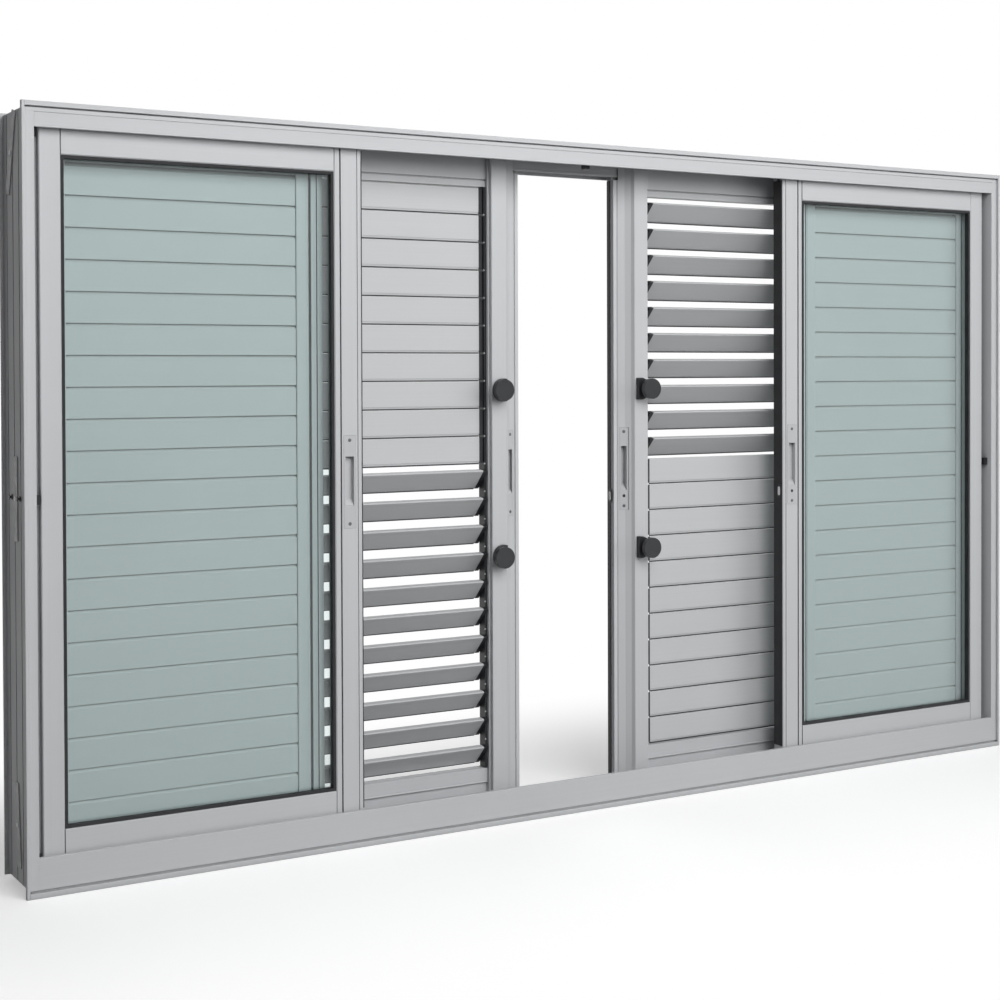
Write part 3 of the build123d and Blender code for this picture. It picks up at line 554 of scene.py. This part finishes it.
def makeCatches():
    # long-round catches on the leading edges of the right sash and the right shutter
    rings, tongues = bmesh.new(), bmesh.new()
    sashLow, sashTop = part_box("sash_right_handle_stile")
    leafLow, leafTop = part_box("shutter_right_meeting_stile")
    sealThick = catches["sealThick"]
    spots = ((sashLow[0] - sealThick, (sashLow[1] + sashTop[1]) / 2 - catches["sashInset"]),
             (leafLow[0] - sealThick, leafTop[1] - catches["leafInset"]))
    turn = Matrix.Rotation(radians(-90), 4, "Y") @ Matrix.Rotation(radians(90), 4, "Z")  # long side upright
    for x, y in spots:
        spot = Matrix.Translation((x, y, catches["middleHigh"])) @ turn
        addStud(rings, spot, catches["ringRadius"], catches["ringHigh"], catches["ringSides"],
                catches["ringStretch"])
        spot = Matrix.Translation((-catches["ringHigh"], 0, 0)) @ spot
        addStud(tongues, spot, catches["tongueRadius"], catches["tongueHigh"], catches["tongueSides"],
                catches["tongueStretch"])
    finishPiece(rings, "catchRings", knobPlastic)
    finishPiece(tongues, "catchTongues", whiteNylon)


pins = {
    "pitch": 0.04944,
    "firstEdge": 0.0832,
    "slats": 21,
    "radius": 0.0016,
    "high": 0.0010,
    "sides": 8,
    "inset": 0.0038,
}


def makeLinkPins():
    # a small light pin at each slat boundary, on the room side of both pivot strips
    bm = bmesh.new()
    for word in ("left", "right"):
        low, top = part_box("shutter_" + word + "_pivot_strips")
        for x in (low[0] + pins["inset"], top[0] - pins["inset"]):
            for boundary in range(1, pins["slats"]):
                high = pins["firstEdge"] + boundary * pins["pitch"]
                spot = faceOn((x, low[1], high), (0, -1, 0))
                addStud(bm, spot, pins["radius"], pins["high"], pins["sides"], steps=1)
    finishPiece(bm, "linkPins", screwSteel)


rivets = {
    # depth and height on the upper, middle and lower strap
    "spots": ((0.01475, 1.130), (-0.00025, 0.600), (-0.00025, 0.099)),
    "radius": 0.0042,
    "high": 0.0016,
    "sides": 16,
}


def makeStrapRivets():
    bm = bmesh.new()
    low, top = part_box("frame_straps")
    for x, way in ((low[0], -1), (top[0], 1)):
        for y, high in rivets["spots"]:
            spot = faceOn((x, y, high), (way, 0, 0))
            addStud(bm, spot, rivets["radius"], rivets["high"], rivets["sides"])
    finishPiece(bm, "strapRivets", screwSteel)


fixings = {
    # depth and height of the two on each jamb
    "spots": ((-0.0215, 0.6010), (0.0230, 0.6015)),
    "wallOut": 1.0195,
    "radius": 0.0044,
    "long": 0.0052,
    "sides": 14,
    # shares of radius and length, from the jamb outwards
    "outline": ((1.0, 0.0), (1.0, 0.16), (0.86, 0.24), (0.44, 0.34), (0.38, 0.5), (0.44, 0.62),
                (0.8, 0.74), (0.86, 0.8), (0.86, 0.94), (0.74, 1.0)),
    "mergeReach": 1e-6,
}


def makeScrewTips():
    # waisted black fixings that stand out of the outer wall of each jamb
    bm = bmesh.new()
    radius, reach = fixings["radius"], fixings["long"]
    outline = [(radius * out, reach * up) for out, up in fixings["outline"]]
    outline = [(0.0, 0.0)] + outline + [(0.0, reach)]
    for way in (-1, 1):
        for y, high in fixings["spots"]:
            before = set(bm.verts)
            verts = [bm.verts.new((out, 0, up)) for out, up in outline]
            edges = [bm.edges.new(pair) for pair in zip(verts, verts[1:])]
            bmesh.ops.spin(bm, geom=verts + edges, cent=(0, 0, 0), axis=(0, 0, 1), dvec=(0, 0, 0),
                           angle=radians(360), steps=fixings["sides"], use_merge=True, use_duplicate=False)
            placeNew(bm, before, faceOn((way * fixings["wallOut"], y, high), (way, 0, 0)))
    bmesh.ops.remove_doubles(bm, verts=bm.verts, dist=fixings["mergeReach"])
    finishPiece(bm, "stopScrewTips", knobPlastic)


makePullScrews()
makeCatches()
makeLinkPins()
makeStrapRivets()
makeScrewTips()
print("small pieces made")


# Floor, light and camera.

studio = {
    "floorSize": 60.0,
    "floorSeen": (0.86, 0.86, 0.86, 1),
    "floorBounce": (0.32, 0.32, 0.32, 1),
    "floorRoughness": 0.9,
    "floorLift": 0.42,
    "fadeStart": 0.12,
    "fadeEnd": 0.85,
    "ambient": 0.055,
    "aim": (0, 0, 0.6),
}

lamps = {
    "keyLamp": {"power": 214.0, "place": (4.2, -5.4, 2.1), "size": 6.0},
    "topLamp": {"power": 56.0, "place": (-0.2, -2.6, 2.1), "size": 2.0},
    "fillLamp": {"power": 8.0, "place": (-1.3, -3.4, 2.5), "size": 1.6},
    "rearLamp": {"power": 38.0, "place": (0.9, 4.2, 2.8), "size": 3.0},
}


def shownDirect(tree):
    # 1 where the camera sees it, also in a reflection or through a pane, and 0 for bounced light
    path = addNode(tree, "ShaderNodeLightPath")
    total = mathOn(tree, "ADD", path.outputs["Is Camera Ray"], path.outputs["Is Glossy Ray"])
    total = mathOn(tree, "ADD", total, path.outputs["Is Transmission Ray"])
    return mathOn(tree, "MINIMUM", total, 1.0)


def awayFromWindow(tree, place):
    # metres along the floor from the window's own outline
    parts = addNode(tree, "ShaderNodeSeparateXYZ")
    tree.links.new(place, parts.inputs[0])
    squares = []
    for axis, half in zip(("X", "Y"), cadBox[1]):
        beyond = mathOn(tree, "SUBTRACT", mathOn(tree, "ABSOLUTE", parts.outputs[axis]), half)
        beyond = mathOn(tree, "MAXIMUM", beyond, 0.0)
        squares.append(mathOn(tree, "MULTIPLY", beyond, beyond))
    return mathOn(tree, "SQRT", mathOn(tree, "ADD", *squares))


def makeFloor():
    # pale floor that keeps the window's shadow and turns to plain white a little way from it
    bm = bmesh.new()
    bmesh.ops.create_grid(bm, x_segments=1, y_segments=1, size=studio["floorSize"] / 2)
    mesh = bpy.data.meshes.new("studioFloor")
    bm.to_mesh(mesh)
    bm.free()
    floor = bpy.data.objects.new("studioFloor", mesh)
    bpy.context.scene.collection.objects.link(floor)
    material, tree, shader, place = startMaterial("studioFloor")
    shown = shownDirect(tree)
    tone = addNode(tree, "ShaderNodeMix", data_type="RGBA")
    tone.inputs["A"].default_value = studio["floorBounce"]
    tone.inputs["B"].default_value = studio["floorSeen"]
    tree.links.new(shown, tone.inputs["Factor"])
    tree.links.new(tone.outputs["Result"], shader.inputs["Base Color"])
    shader.inputs["Roughness"].default_value = studio["floorRoughness"]
    shader.inputs["Specular IOR Level"].default_value = 0.0
    shader.inputs["Emission Color"].default_value = (1, 1, 1, 1)
    tree.links.new(mathOn(tree, "MULTIPLY", shown, studio["floorLift"]), shader.inputs["Emission Strength"])
    fade = mapRange(tree, awayFromWindow(tree, place), studio["fadeStart"], studio["fadeEnd"], 0.0, 1.0,
                    "SMOOTHSTEP")
    white = addNode(tree, "ShaderNodeEmission")
    mixed = addNode(tree, "ShaderNodeMixShader")
    tree.links.new(mathOn(tree, "MULTIPLY", fade, shown), mixed.inputs[0])
    tree.links.new(shader.outputs[0], mixed.inputs[1])
    tree.links.new(white.outputs[0], mixed.inputs[2])
    tree.links.new(mixed.outputs[0], tree.nodes["Material Output"].inputs["Surface"])
    mesh.materials.append(material)


def makeWorld():
    # plain white to look at, but only a faint light of its own
    world = bpy.data.worlds.new("studioWorld")
    world.use_nodes = True
    bpy.context.scene.world = world
    tree = world.node_tree
    background = tree.nodes["Background"]
    background.inputs["Color"].default_value = (1, 1, 1, 1)
    strength = mapRange(tree, shownDirect(tree), 0.0, 1.0, studio["ambient"], 1.0)
    tree.links.new(strength, background.inputs["Strength"])


def makeLamp(name, power, place, size):
    # a soft square lamp that doesn't show in the panes
    data = bpy.data.lights.new(name, "AREA")
    data.shape = "SQUARE"
    data.size = size
    data.energy = power
    lamp = bpy.data.objects.new(name, data)
    lamp.location = place
    aim = Vector(studio["aim"]) - Vector(place)
    lamp.rotation_euler = aim.to_track_quat("-Z", "Y").to_euler()
    lamp.visible_glossy = False
    lamp.visible_transmission = False
    bpy.context.scene.collection.objects.link(lamp)


makeFloor()
makeWorld()
for name, settings in lamps.items():
    makeLamp(name, **settings)
print("floor and lights set")

# solved from the straight edges of the window's frame in the photo
view = {
    "place": (-1.72307, -2.63444, 0.79204),
    "turn": (89.1357, 0.1929, -30.7039),
    "lens": 61.852,
    "sensorWide": 36.0,
    "shiftY": -0.1026,
}
cameraData = bpy.data.cameras.new("photoCamera")
cameraData.sensor_width = view["sensorWide"]
cameraData.lens = view["lens"]
cameraData.shift_y = view["shiftY"]
camera = bpy.data.objects.new("photoCamera", cameraData)
camera.location = view["place"]
camera.rotation_euler = [radians(angle) for angle in view["turn"]]
bpy.context.scene.collection.objects.link(camera)
bpy.context.scene.camera = camera
bpy.context.scene.view_settings.view_transform = "Standard"
print("camera set")
